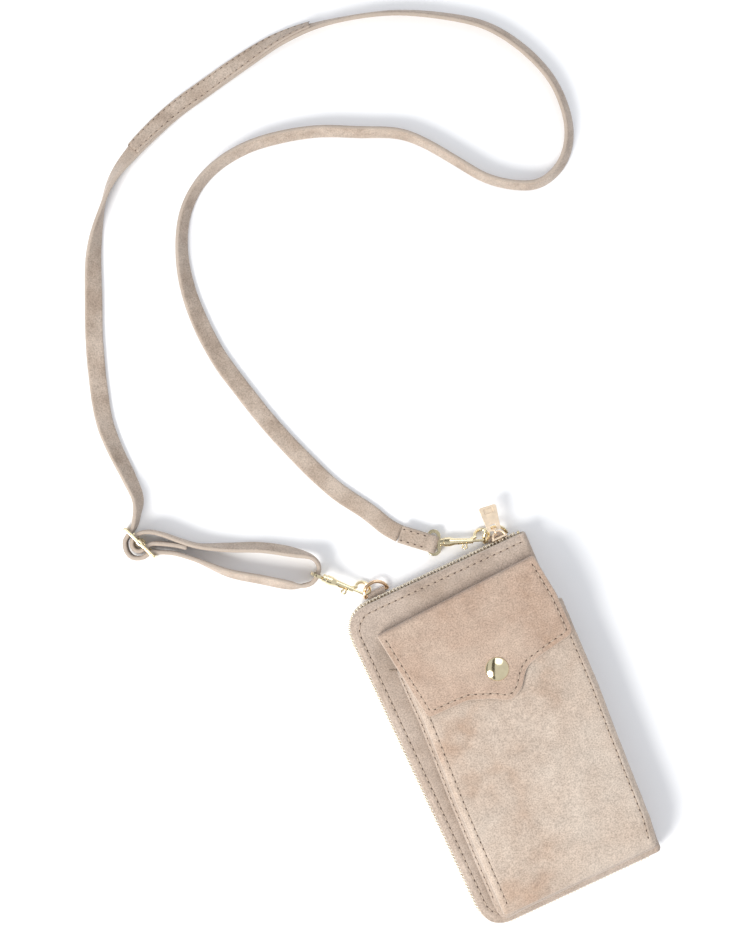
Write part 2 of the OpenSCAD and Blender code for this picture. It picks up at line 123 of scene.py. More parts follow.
# Middle and width of each D-ring's leather tab
RING_TABS = {"ring_tab_left": (-33.5, 10.4), "ring_tab_right": (40.3, 9.0)}
TAB_R = 1.75
TAB_T = 0.68

# Start of each hook's barrel, with its pitch and heading in degrees
HOOKS = [((-51.9, 115, 7.6), 4.0, -47.0), ((17.9, 107.5, 4.6), -5.1, -22.0)]
SPRING_FROM, SPRING_TO = -1.4, 2.5
SPRING_R = 0.72
SPRING_WIRE_R = 0.17
SPRING_COILS = 4

STRAP_W = 10.0
STRAP_T = 2.4
STRAP_GROUND = 0.05
# x, y, tilt in degrees and height of the lower edge, from the fold at hook 2 to the cut tail
STRAP_ROUTE = [
    (-7.6, 124.2, 0, 0), (-11.5, 128.8, 0, 0), (-18, 142, 0, 0), (-30, 162, 0, 0),
    (-40, 187, 5, 0), (-48, 212, 10, 0), (-54, 237, 15, 0), (-58, 257, 20, 0),
    (-59, 281, 30, 0), (-57, 301, 45, 0), (-51, 321, 60, 0), (-41, 338, 65, 0),
    (-28, 349, 68, 0), (-13, 355, 68, 0), (7, 357, 66, 0), (27, 354, 64, 0),
    (47, 348, 66, 0), (67, 338, 68, 0), (87, 328, 72, 0), (97, 318, 75, 0),
    (109, 301, 76, 0), (121, 284, 76, 0), (134, 274, 75, 0), (146, 269, 74, 0),
    (159, 272, 70, 0), (168, 279, 66, 0), (175, 291, 64, 0), (178, 311, 64, 0),
    (176, 326, 62, 0), (168, 346, 60, 0), (156, 363, 62, 0), (136, 378, 66, 0),
    (112, 391, 72, 0), (87, 399, 74, 0), (67, 403, 65, 0), (47, 404, 45, 0),
    (27, 402, 25, 0), (-3, 397, 12, 0), (-23, 393, 14, 0), (-53, 382, 35, 0),
    (-71, 372, 65, 0), (-83, 359, 90, 0), (-96, 341, 130, 0), (-108, 316, 155, 0),
    (-117, 296, 160, 0), (-126, 271, 160, 0), (-131.5, 251, 150, 0), (-132.5, 236, 140, 0),
    (-132, 217, 130, 0), (-132.5, 204, 115, 0.8), (-136, 197, 100, 1.8), (-140, 191.5, 95, 2.2),
    (-144, 188.5, 90, 2.2), (-148, 186, 90, 2.2), (-150, 180.5, 90, 2.2), (-148.5, 175.5, 90, 2.2),
    (-143, 173, 90, 2.2), (-138.3, 173.9, 90, 2.2), (-134, 172, 90, 2), (-127, 168, 88, 1.2),
    (-117, 159, 85, 0.4), (-104, 145, 70, 0), (-89, 134, 65, 0.5), (-75, 124, 69, 2),
    (-69, 121, 90, 2.8), (-63.5, 120.3, 90, 3.1), (-59.4, 122.6, 90, 3.2), (-56.3, 127, 90, 3.1),
    (-57, 132, 90, 2.8), (-66, 140, 69, 1), (-81, 150, 65, 0.4), (-98, 158, 70, 0.2),
    (-113, 166, 86, 0.8), (-121, 173, 88, 1.4), (-128, 180, 90, 2), (-134, 184.5, 90, 2.2),
    (-139, 186, 90, 2.2), (-142.8, 185.2, 90, 2.2), (-145.5, 182.8, 90, 2.2),
    (-145.7, 179.4, 90, 2.2), (-143.3, 177, 90, 2.2), (-139.6, 177.2, 90, 2.2),
    (-136, 178, 90, 2.1), (-130.4, 175.5, 90, 1.8), (-122, 170, 88, 1.2), (-119, 167.5, 88, 1),
]
# Route points at the ends of the splice, and the loose loop's middle and reach
SPLICE_ENDS = (34, 39)
SPLICE_T = 1.3
BUCKLE_LOOP = (-100.0, 150.0, 75.0)
STRAP_FOLD_AT = (8.8, 109.4)
STRAP_FOLD_TURN = math.radians(-42)
STRAP_FOLD_L = 22.0
STRAP_FOLD_MID_R = 2.125
STRAP_FOLD_MID_Z = 3.375
STRAP_FOLD_T = 2.3


# ---------------------------------------------------------------------------
# Materials
# ---------------------------------------------------------------------------
def new_material(name):
    mat = bpy.data.materials.new(name)
    mat.use_nodes = True
    return mat


def add(mat, kind, inputs=None, **settings):
    """A new node; an input is a value or another node's output socket."""
    node = mat.node_tree.nodes.new(kind)
    for key, value in settings.items():
        setattr(node, key, value)
    for key, value in (inputs or {}).items():
        if isinstance(value, bpy.types.NodeSocket):
            mat.node_tree.links.new(value, node.inputs[key])
        else:
            node.inputs[key].default_value = value
    return node


def principled(mat, **inputs):
    """Sets or links the main shader's inputs, named with _ for each space."""
    bsdf = mat.node_tree.nodes["Principled BSDF"]
    for key, value in inputs.items():
        socket = bsdf.inputs[key.replace("_", " ")]
        if isinstance(value, bpy.types.NodeSocket):
            mat.node_tree.links.new(value, socket)
        else:
            socket.default_value = value
    return bsdf


def noise(mat, scale, detail=3.0, rough=0.55):
    where = add(mat, "ShaderNodeTexCoord").outputs["Object"]
    node = add(mat, "ShaderNodeTexNoise",
               {"Vector": where, "Scale": scale, "Detail": detail, "Roughness": rough})
    return node.outputs["Fac"]


def ramp(mat, fac, stops):
    """A colour from stops of (place, colour)."""
    node = add(mat, "ShaderNodeValToRGB", {"Fac": fac})
    elements = node.color_ramp.elements
    while len(elements) < len(stops):
        elements.new(0.5)
    for element, (place, colour) in zip(elements, stops):
        element.position = place
        element.color = (*colour, 1.0)
    return node.outputs["Color"]


def grey(value):
    return (value, value, value)


def shades(colour, factor):
    return [factor * c for c in colour]


def multiply(mat, a, b):
    return add(mat, "ShaderNodeMixRGB", {"Fac": 1.0, "Color1": a, "Color2": b},
               blend_type="MULTIPLY").outputs["Color"]


def mix(mat, fac, a, b):
    return add(mat, "ShaderNodeMixRGB", {"Fac": fac, "Color1": a, "Color2": b}).outputs["Color"]


def attribute(mat, name):
    return add(mat, "ShaderNodeAttribute", attribute_name=name).outputs["Fac"]


def suede(name, dark, mid, light, edge, patch_scale=24.0, nap=0.5):
    """Brushed suede: cloudy patches, a fine nap and paler cut edges."""
    mat = new_material(name)
    patches = ramp(mat, noise(mat, patch_scale, 3.5, 0.6),
                   [(0.33, dark), (0.45, mid), (0.64, light)])
    clouds = ramp(mat, noise(mat, 150.0, 4.0, 0.65), [(0.3, grey(0.88)), (0.7, grey(1.06))])
    fibres = noise(mat, 1250.0, 2.0, 0.6)
    flecks = ramp(mat, fibres, [(0.32, grey(0.74)), (0.5, grey(1.0)), (0.68, grey(1.2))])
    colour = multiply(mat, multiply(mat, patches, clouds), flecks)
    colour = mix(mat, attribute(mat, "edge"), colour, (*edge, 1))
    bump = add(mat, "ShaderNodeBump", {"Height": fibres, "Strength": nap, "Distance": 0.0003})
    principled(mat, Base_Color=colour, Roughness=0.92, Specular_IOR_Level=0.15,
               Sheen_Weight=0.25, Sheen_Roughness=0.45, Normal=bump.outputs["Normal"])
    return mat


def metal(name, colour, rough=0.16):
    """Plated metal with faint wear in the plating."""
    mat = new_material(name)
    wear = noise(mat, 260.0, 4.0, 0.6)
    soft_edges = add(mat, "ShaderNodeBevel", {"Radius": 0.0003}, samples=4).outputs["Normal"]
    shade = ramp(mat, wear, [(0.35, shades(colour, 0.88)), (0.65, colour)])
    gloss = ramp(mat, noise(mat, 500.0, 3.0),
                 [(0.3, grey(rough * 0.88)), (0.7, grey(rough * 1.15))])
    bump = add(mat, "ShaderNodeBump", {"Height": wear, "Strength": 0.03, "Distance": 0.0002,
                                       "Normal": soft_edges})
    principled(mat, Base_Color=shade, Metallic=1.0, Roughness=gloss,
               Normal=bump.outputs["Normal"])
    return mat


def woven(name, colour, threads=1400.0):
    """Plain weave, made of two crossed sets of bands."""
    mat = new_material(name)
    where = add(mat, "ShaderNodeTexCoord").outputs["Object"]
    bands = [add(mat, "ShaderNodeTexWave",
                 {"Vector": where, "Scale": threads / 6, "Distortion": 0.6},
                 bands_direction=axis).outputs["Color"] for axis in ("X", "Y")]
    weave = mix(mat, 0.5, *bands)
    tone = ramp(mat, weave, [(0.2, shades(colour, 0.7)), (0.8, shades(colour, 1.1))])
    patches = ramp(mat, noise(mat, 60.0), [(0.3, grey(0.88)), (0.7, grey(1.05))])
    tone = multiply(mat, tone, patches)
    bump = add(mat, "ShaderNodeBump", {"Height": weave, "Strength": 0.5, "Distance": 0.0002})
    principled(mat, Base_Color=tone, Roughness=0.9, Specular_IOR_Level=0.2,
               Sheen_Weight=0.2, Normal=bump.outputs["Normal"])
    return mat


def thread(name, colour):
    """Twisted sewing thread."""
    mat = new_material(name)
    twist = noise(mat, 4000.0, 2.0)
    tone = ramp(mat, twist, [(0.3, shades(colour, 0.7)), (0.7, colour)])
    bump = add(mat, "ShaderNodeBump", {"Height": twist, "Strength": 0.4, "Distance": 0.0001})
    principled(mat, Base_Color=tone, Roughness=0.7, Normal=bump.outputs["Normal"])
    return mat


def paper(name, colour):
    """A plain matt surface, for the floor and the cards."""
    mat = new_material(name)
    tone = ramp(mat, noise(mat, 3.0, 2.0), [(0.0, shades(colour, 0.98)), (1.0, colour)])
    principled(mat, Base_Color=tone, Roughness=0.9, Specular_IOR_Level=0.1)
    return mat


SUEDE = suede("suede", (0.415, 0.300, 0.225), (0.470, 0.375, 0.302), (0.515, 0.432, 0.360),
              (0.50, 0.43, 0.37), 21.0, 0.6)
FLAP_SUEDE = suede("flap_suede", (0.385, 0.268, 0.196), (0.432, 0.314, 0.240),
                   (0.470, 0.358, 0.280), (0.52, 0.44, 0.375), 34.0, 0.7)
COVER_SUEDE = suede("cover_suede", (0.360, 0.277, 0.218), (0.400, 0.318, 0.258),
                    (0.445, 0.362, 0.300), (0.48, 0.42, 0.365), 30.0)
STRAP_SUEDE = suede("strap_suede", (0.36, 0.28, 0.22), (0.42, 0.335, 0.268), (0.48, 0.395, 0.325),
                    (0.44, 0.37, 0.31), 60.0, 0.9)
SLOT_SUEDE = suede("slot_suede", (0.40, 0.305, 0.235), (0.45, 0.352, 0.276), (0.49, 0.395, 0.317),
                   (0.55, 0.48, 0.41), 40.0)
LINING = woven("lining", (0.50, 0.42, 0.33))
TAPE = woven("zip_tape", (0.50, 0.41, 0.33), 2200.0)
TEETH = metal("zip_teeth", (0.95, 0.86, 0.71), 0.45)
GOLD = metal("light_gold", (0.95, 0.82, 0.54), 0.12)
ROSE = metal("rose_gold", (0.90, 0.64, 0.42))
PEACH = metal("peach_gold", (1.0, 0.82, 0.62), 0.45)
STEEL = metal("spring_steel", (0.6, 0.6, 0.6), 0.25)
THREAD = thread("thread", (0.50, 0.39, 0.30))
# The needle holes are beads coloured near black: painted shade of the hollows, which have no depth
# of their own.
HOLE_SHADE = thread("needle_hole_shade", (0.105, 0.065, 0.045))
FLOOR = paper("floor", (0.93, 0.93, 0.935))
CARD = paper("card", (0.09, 0.085, 0.075))


# ---------------------------------------------------------------------------
# Mesh building
# ---------------------------------------------------------------------------
def piece(name, points, faces, material, body=None, nodes=(), slot=None, edge=None, smooth=True):
    """A mesh from points in millimetres, riding on a body and standing for CAD nodes."""
    mesh = bpy.data.meshes.new(name)
    mesh.from_pydata((np.asarray(points, float) * MM).tolist(), [], [list(f) for f in faces])
    mesh.materials.append(material)
    mesh.polygons.foreach_set("use_smooth", [smooth] * len(mesh.polygons))
    if edge is not None:
        mesh.attributes.new("edge", "FLOAT", "POINT").data.foreach_set("value", edge)
    mesh.update()
    obj = bpy.data.objects.new(name, mesh)
    bpy.context.scene.collection.objects.link(obj)
    if nodes:
        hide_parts(*nodes)
    if body:
        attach(obj, body)
    return obj


def unit(vectors):
    """Vectors scaled to length 1."""
    return vectors / np.linalg.norm(vectors, axis=-1, keepdims=True)


def directions(path):
    """The unit direction of a path at each of its points."""
    return unit(np.gradient(path, axis=0))


def smoothstep(t):
    t = np.clip(t, 0, 1)
    return t * t * (3 - 2 * t)


def waves(seed, size, x, y):
    """A smooth random height from about -1 to 1, with features about size mm across."""
    rng = random.Random(seed)
    total = 0.0
    for _ in range(7):
        turn = rng.uniform(0, math.pi)
        pace = 2 * math.pi / size * rng.uniform(0.5, 1.5)
        across = x * math.cos(turn) + y * math.sin(turn)
        total = total + np.sin(pace * across + rng.uniform(0, 6.28))
    return total / 4


def rounded(corners, mains):
    """Rounds the corners (x, y, radius) of a closed outline that runs counter-clockwise.
    It returns four sides, as point lists, that meet in the middle of the main corners."""
    arcs = []
    n = len(corners)
    for i, (x, y, r) in enumerate(corners):
        here = np.array([x, y], float)
        back = np.array(corners[i - 1][:2], float) - here
        ahead = np.array(corners[(i + 1) % n][:2], float) - here
        lengths = np.linalg.norm(back), np.linalg.norm(ahead)
        back, ahead = back / lengths[0], ahead / lengths[1]
        half = math.acos(np.clip(back @ ahead, -1, 1)) / 2
        reach = min(r / math.tan(half), 0.45 * min(lengths)) if half < 1.56 else 0.0
        t = np.linspace(0, 1, 13)[:, None]
        a, b = here + back * reach, here + ahead * reach
        arcs.append((1 - t) ** 2 * a + 2 * t * (1 - t) * here + t ** 2 * b)
    sides = []
    for k, start in enumerate(mains):
        end = mains[(k + 1) % 4]
        side = list(arcs[start][6:])
        i = (start + 1) % n
        while i != end:
            side += list(arcs[i])
            i = (i + 1) % n
        sides.append(np.array(side + list(arcs[end][:7])))
    return sides


def resample(path, places):
    """Points at shares (0 to 1) of a path's length."""
    path = np.asarray(path, float)
    steps = np.linalg.norm(np.diff(path, axis=0), axis=1)
    keep = np.concatenate([[True], steps > 1e-9])
    path = path[keep]
    along = np.concatenate([[0], np.cumsum(np.linalg.norm(np.diff(path, axis=0), axis=1))])
    return np.stack([np.interp(np.asarray(places) * along[-1], along, path[:, k])
                     for k in range(path.shape[1])], axis=1)


def length_of(path):
    return float(np.linalg.norm(np.diff(np.asarray(path, float), axis=0), axis=1).sum())


def every(path, step):
    """The path's points again, about step apart."""
    return resample(path, np.linspace(0, 1, max(2, int(length_of(path) / step)) + 1))


def spread(length, step, edge, border=7.0):
    """Shares from 0 to 1, close together near both ends where the edge is rounded and sewn."""
    rim = np.concatenate([edge * np.array([0, 0.1, 0.3, 0.6]), np.arange(edge, border, 0.62)])
    middle = np.linspace(border, length - border, max(2, int((length - 2 * border) / step)) + 1)
    return np.concatenate([rim, middle, length - rim[::-1]]) / length


def coons(sides, us, vs):
    """A Coons patch: plan points in rows and columns inside four sides (bottom, right, top and
    left, counter-clockwise), at the shares us across and vs up."""
    bottom, right = resample(sides[0], us), resample(sides[1], vs)
    top, left = resample(sides[2][::-1], us), resample(sides[3][::-1], vs)
    u, v = us[None, :, None], vs[:, None, None]
    ruled = (1 - v) * bottom[None] + v * top[None] + (1 - u) * left[:, None] + u * right[:, None]
    corners = ((1 - u) * (1 - v) * bottom[0] + u * (1 - v) * bottom[-1]
               + (1 - u) * v * top[0] + u * v * top[-1])
    return ruled - corners


def normals(grid):
    """The outward unit normal at each grid point; columns run across, rows run up."""
    across = np.gradient(grid, axis=1)
    along = np.gradient(grid, axis=0)
    n = np.cross(across, along)
    return n / np.maximum(np.linalg.norm(n, axis=2, keepdims=True), 1e-12)


def rim_distance(grid, open_sides=()):
    """Each grid point's distance from the nearest side, measured along the grid."""
    rows, cols = grid.shape[:2]
    widths = np.linalg.norm(np.diff(grid, axis=1), axis=2)
    heights = np.linalg.norm(np.diff(grid, axis=0), axis=2)
    across = np.concatenate([np.zeros((rows, 1)), np.cumsum(widths, axis=1)], axis=1)
    along = np.concatenate([np.zeros((1, cols)), np.cumsum(heights, axis=0)], axis=0)
    sides = {"left": across, "right": across[:, -1:] - across,
             "bottom": along, "top": along[-1:] - along}
    return np.min([d for name, d in sides.items() if name not in open_sides], axis=0)


def grid_faces(rows, cols, start=0, flip=False):
    i = np.arange(rows - 1)[:, None] * cols + np.arange(cols - 1)[None, :] + start
    quads = np.stack([i, i + 1, i + cols + 1, i + cols], axis=-1).reshape(-1, 4)
    return (quads[:, ::-1] if flip else quads).tolist()


def slab(name, grid, thick, edge, material, cut=0.45, open_sides=(), **more):
    """A sheet of leather whose outer face is the grid, with softly rounded cut edges."""
    n = normals(grid)
    d = rim_distance(grid, open_sides)
    full = cut + (1 - cut) * np.sqrt(np.clip(1 - (1 - np.clip(d / edge, 0, 1)) ** 2, 0, 1))
    middle = grid - n * thick / 2
    top = middle + n * (thick / 2 * full)[..., None]
    bottom = middle - n * (thick / 2 * full)[..., None]
    rows, cols = grid.shape[:2]
    count = rows * cols
    ring = ([c for c in range(cols)] + [r * cols + cols - 1 for r in range(1, rows)]
            + [(rows - 1) * cols + c for c in range(cols - 2, -1, -1)]
            + [r * cols for r in range(rows - 2, 0, -1)])
    wall = [(a, a + count, b + count, b) for a, b in zip(ring, ring[1:] + ring[:1])]
    faces = grid_faces(rows, cols) + grid_faces(rows, cols, count, flip=True) + wall
    points = np.concatenate([top.reshape(-1, 3), bottom.reshape(-1, 3)])
    pale = np.clip(1 - d / 0.7, 0, 1).reshape(-1) * 0.7
    return piece(name, points, faces, material, edge=np.concatenate([pale, pale]), **more)


def laid_on(obj, path, out=1, lift=0.0):
    """A plan path with the height of a piece's surface, seen from above (out 1) or below (-1)."""
    tree = BVHTree.FromPolygons([v.co for v in obj.data.vertices],
                                [tuple(p.vertices) for p in obj.data.polygons])
    points = []
    for x, y in np.asarray(path)[:, :2]:
        hit = tree.ray_cast(Vector((x * MM, y * MM, 0.1 * out)), Vector((0, 0, -out)))[0]
        if hit is not None:
            points.append((x, y, hit[2] / MM + lift * out))
    return np.array(points)


def walls(rings, sides, start=0):
    """Faces between rings of points that follow one another."""
    lows = [start + row * sides for row in range(rings - 1)]
    return [(a + k, a + (k + 1) % sides, a + sides + (k + 1) % sides, a + sides + k)
            for a in lows for k in range(sides)]


def bar_faces(rings, sides):
    """Faces of a bar made of rings, with a flat end at each end."""
    last = (rings - 1) * sides
    ends = [tuple(range(sides))[::-1], tuple(last + k for k in range(sides))]
    return walls(rings, sides) + ends


def turned_faces(rings, sides):
    """Faces of a turned solid: a point, then the rings, then a point."""
    last = 1 + rings * sides
    top = last - sides
    return ([(0, 1 + (k + 1) % sides, 1 + k) for k in range(sides)] + walls(rings, sides, 1)
            + [(top + k, top + (k + 1) % sides, last) for k in range(sides)])


def tube(path, radius, sides):
    """Points and faces of a round wire along a path."""
    ahead = directions(path)
    steep = abs(ahead[:, 2]).max() >= 0.9
    side = unit(np.cross(ahead, np.array([0.3, 1.0, 0.1] if steep else [0, 0, 1.0])))
    up = np.cross(side, ahead)
    turn = np.linspace(0, 2 * math.pi, sides, endpoint=False)
    rings = (path[:, None] + radius * (np.cos(turn)[None, :, None] * side[:, None]
                                       + np.sin(turn)[None, :, None] * up[:, None]))
    return rings.reshape(-1, 3), bar_faces(len(path), sides)


def lathe(profile, sides=64):
    """Points and faces of a solid of revolution about Z. The profile's r, z pairs run up, and
    start and end on the axis."""
    turn = np.linspace(0, 2 * math.pi, sides, endpoint=False)
    inner = profile[1:-1]
    points = [(0, 0, profile[0][1])]
    points += [(r * math.cos(t), r * math.sin(t), z) for r, z in inner for t in turn]
    points.append((0, 0, profile[-1][1]))
    return np.array(points), turned_faces(len(inner), sides)


class Batch:
    """Many small solids joined into one piece."""

    def __init__(self):
        self.points, self.faces, self.count = [], [], 0

    def add(self, points, faces):
        points = np.asarray(points, float)
        self.points.append(points)
        self.faces += [[i + self.count for i in f] for f in faces]
        self.count += len(points)

    def piece(self, name, material, body, **more):
        return piece(name, np.concatenate(self.points), self.faces, material, body=body, **more)


def bead(length, width, height, sides=8):
    """A rounded bead, long in x."""
    rings = [(-0.8, 0.62), (0, 1.0), (0.8, 0.62)]
    turn = np.linspace(0, 2 * math.pi, sides, endpoint=False)
    points = [(-length / 2, 0, 0)]
    points += [(p * length / 2, r * width / 2 * math.cos(t), r * height / 2 * math.sin(t))
               for p, r in rings for t in turn]
    points.append((length / 2, 0, 0))
    return np.array(points, float), turned_faces(len(rings), sides)


def placed(points, at, ahead, up):
    """Points moved so that x runs along ahead and z along up."""
    ahead = unit(np.asarray(ahead, float))
    up = unit(np.asarray(up, float) - ahead * np.dot(up, ahead))
    side = np.cross(up, ahead)
    return np.asarray(at) + points @ np.array([ahead, side, up])


def sew(name, path, up, pitch, body, thread_w, seed, slot="suede"):
    """A row of stitches along a path of surface points; up is a direction, or one per point.
    Each stitch is a length of thread between two needle holes, each a near-black bead of painted
    shade."""
    count = max(1, round(length_of(path) / pitch))
    shares = np.linspace(0, 1, count + 1)
    ends = resample(path, shares)
    ups = np.broadcast_to(np.asarray(up, float), (len(path), 3))
    ups = resample(np.concatenate([np.asarray(path, float), ups], axis=1), shares)[:, 3:]
    rng = random.Random(seed)
    threads, hole_shades = Batch(), Batch()
    for k in range(count + 1):
        ahead = ends[min(k + 1, count)] - ends[max(k - 1, 0)]
        # A near-black bead at each needle hole: painted shade of the hollow.
        hole = bead(pitch * 0.36 * rng.uniform(0.85, 1.15), thread_w * 0.95, 0.34)
        hole_shades.add(placed(hole[0], ends[k], ahead, ups[k]), hole[1])
        if k == count:
            break
        span = ends[k + 1] - ends[k]
        stitch = bead(pitch * 0.74, thread_w, 0.46)
        sway = np.cross(ups[k], unit(span)) * rng.uniform(-0.08, 0.08)
        threads.add(placed(stitch[0], (ends[k] + ends[k + 1]) / 2 + sway, span, ups[k]), stitch[1])
    hole_shades.piece(name + "_hole_shades", HOLE_SHADE, body, slot=slot)
    return threads.piece(name, THREAD, body, slot=slot)


# ---------------------------------------------------------------------------
# Camera, floor and light; places in metres, as Blender's
# ---------------------------------------------------------------------------
CAMERA_AT = (-0.0064, 0.1598, 1.1)
CAMERA_LENS = 73.9
PICTURE_TURN = math.radians(-25)
LIGHT_TARGET = (0.0, 0.12, 0.0)
# Name, place, size, watts and colour
LIGHTS = [("key", (-1.25, -0.35, 1.15), 0.9, 34, (1.0, 0.985, 0.96)),
          ("fill", (0.9, 1.1, 1.5), 1.6, 9, (0.9, 0.94, 1.0))]
SKY = (0.93, 0.955, 1.0, 1)
SKY_STRENGTH = 0.72

# In millimetres: the floor, and the dark cards high above the table, which only the metal
# reflects. Each card reaches from and to across the picture.
FLOOR_HALF = 4000
DARK_CARDS = [(-600, -165), (-2200, -1500)]
CARD_Z = 1250
CARD_HALF_L = 2600
CARD_MID_Y = 160


def camera():
    data = bpy.data.cameras.new("camera")
    data.lens = CAMERA_LENS
    data.sensor_width = 36
    data.clip_end = 10
    obj = bpy.data.objects.new("camera", data)
    obj.location = CAMERA_AT
    obj.rotation_euler = (0, 0, PICTURE_TURN)
    bpy.context.scene.collection.objects.link(obj)
    bpy.context.scene.camera = obj


def area_light(name, place, size, watts, colour):
    data = bpy.data.lights.new(name, "AREA")
    data.shape = "DISK"
    data.size = size
    data.energy = watts
    data.color = colour
    obj = bpy.data.objects.new(name, data)
    obj.location = place
    obj.rotation_euler = (Vector(LIGHT_TARGET) - Vector(place)).to_track_quat("-Z", "Y").to_euler()
    bpy.context.scene.collection.objects.link(obj)


def studio():
    square = ((-1, -1), (1, -1), (1, 1), (-1, 1))
    floor = piece("floor", [(FLOOR_HALF * x, FLOOR_HALF * y, 0) for x, y in square],
                  [(0, 1, 2, 3)], FLOOR)
    floor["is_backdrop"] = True
    for light in LIGHTS:
        area_light(*light)
    world = bpy.data.worlds.new("world")
    bpy.context.scene.world = world
    world.use_nodes = True
    background = world.node_tree.nodes["Background"]
    background.inputs["Color"].default_value = SKY
    background.inputs["Strength"].default_value = SKY_STRENGTH
    c, s = math.cos(PICTURE_TURN), math.sin(PICTURE_TURN)
    for k, (near, far) in enumerate(DARK_CARDS):
        corners = [(near, -CARD_HALF_L), (near, CARD_HALF_L),
                   (far, CARD_HALF_L), (far, -CARD_HALF_L)]
        points = [(u * c - v * s, CARD_MID_Y + u * s + v * c, CARD_Z) for u, v in corners]
        card = piece("dark_card_%d" % k, points, [(0, 1, 2, 3)], CARD)
        card.visible_camera = card.visible_diffuse = card.visible_shadow = False
        card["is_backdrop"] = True
    bpy.context.scene.view_settings.view_transform = "Standard"


# ---------------------------------------------------------------------------
# Strap
# ---------------------------------------------------------------------------
def spline(p0, p1, p2, p3, count):
    """Points from p1 up to p2 on a centripetal Catmull-Rom curve."""
    pairs = ((p0, p1), (p1, p2), (p2, p3))
    a, b, c = [max(np.linalg.norm((end - start)[:2]), 1e-6) ** 0.5 for start, end in pairs]
    leave = (p2 - p1) + b * ((p1 - p0) / a - (p2 - p0) / (a + b))
    reach = (p2 - p1) + b * ((p3 - p2) / c - (p3 - p1) / (b + c))
    return [(2 * t ** 3 - 3 * t ** 2 + 1) * p1 + (t ** 3 - 2 * t ** 2 + t) * leave
            + (3 * t ** 2 - 2 * t ** 3) * p2 + (t ** 3 - t ** 2) * reach
            for t in np.linspace(0, 1, count, endpoint=False)]


def strap_line(step=1.6):
    """The strap's middle line and its across direction, smoothed through the route."""
    route = np.array(STRAP_ROUTE, float)
    tilt = np.radians(route[:, 2])
    height = (STRAP_GROUND + route[:, 3] + STRAP_W / 2 * np.abs(np.sin(tilt))
              + STRAP_T / 2 * np.abs(np.cos(tilt)))
    knots = np.column_stack([route[:, 0], route[:, 1], height, tilt])
    padded = np.vstack([2 * knots[0] - knots[1], knots, 2 * knots[-1] - knots[-2]])
    line = []
    for i in range(1, len(padded) - 2):
        gap = np.linalg.norm((padded[i + 1] - padded[i])[:2])
        line += spline(*padded[i - 1:i + 3], max(2, int(gap / step)))
    line.append(padded[-2])
    line = np.array(line)
    # Smoothed away from the loop at the buckle and hook, whose places are exact
    x, y, reach = BUCKLE_LOOP
    free = smoothstep((np.hypot(line[:, 0] - x, line[:, 1] - y) - reach) / 25)[:, None]
    for _ in range(14):
        even = (np.roll(line, 1, 0) + 2 * line + np.roll(line, -1, 0)) / 4
        even[[0, -1]] = line[[0, -1]]
        line = line + free * (even - line)
    centre = line[:, :3]
    ahead = np.gradient(centre, axis=0)
    ahead[:, 2] = 0
    ahead = unit(ahead)
    left = np.column_stack([-ahead[:, 1], ahead[:, 0], np.zeros(len(ahead))])
    across = np.cos(line[:, 3:4]) * left + np.sin(line[:, 3:4]) * np.array([0, 0, 1.0])
    return centre, across


def band(name, centre, across, width, thick, seed=3, **more):
    """A strap leather band with rounded raw edges along a line."""
    ahead = directions(centre)
    through = unit(np.cross(ahead, across))
    across = np.cross(through, ahead)
    w, t = width / 2, thick / 2
    half = [(w, 0.0), (w - 0.12, t * 0.62), (w - 0.5, t * 0.93), (w - 1.3, t),
            (w * 0.4, t * 1.02), (0, t)]
    section = half + [(-a, b) for a, b in half[-2::-1]]
    section += [(a, -b) for a, b in section[-2:0:-1]]
    section = np.array(section)
    n, m = len(centre), len(section)
    # Widths wander a little, as hand-cut leather's do
    s = np.concatenate([[0], np.cumsum(np.linalg.norm(np.diff(centre, axis=0), axis=1))])
    swell = 1 + 0.014 * waves(seed, 26, s, 0 * s) + 0.006 * waves(seed + 1, 5, s, 0 * s)
    rings = (centre[:, None] + section[None, :, :1] * across[:, None] * swell[:, None, None]
             + section[None, :, 1:] * through[:, None])
    rings[..., 2] = np.maximum(rings[..., 2], 0.03)
    pale = np.clip((np.abs(section[:, 0]) - (w - 0.6)) / 0.6, 0, 1) * 0.8
    return piece(name, rings.reshape(-1, 3), bar_faces(n, m), STRAP_SUEDE, body="back_half",
                 slot="strap_suede", edge=np.tile(pale, n), **more)


def nearest_index(centre, i):
    """The index of the line's point closest to a route point."""
    x, y = STRAP_ROUTE[i][:2]
    return int(np.argmin(np.hypot(centre[:, 0] - x, centre[:, 1] - y)))


def strap():
    centre, across = strap_line()
    run = band("strap_band", centre, across, STRAP_W, STRAP_T,
               nodes=("strap_short", "strap_long"))
    part = slice(*(nearest_index(centre, i) for i in SPLICE_ENDS))
    through = unit(np.cross(directions(centre), across))[part]
    layer = band("strap_splice", centre[part] + through * (STRAP_T / 2 + 0.55), across[part],
                 STRAP_W - 0.4, SPLICE_T, seed=9)
    outer = centre[part] + through * (STRAP_T / 2 + SPLICE_T)
    rows = [sew("splice_stitches_%d" % k, outer + across[part] * off, through, STITCH_PITCH,
                "back_half", 0.6, k, "strap_suede") for k, off in enumerate((-3.4, 3.4))]
    fold, fold_rows = strap_fold()
    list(fold_rows)


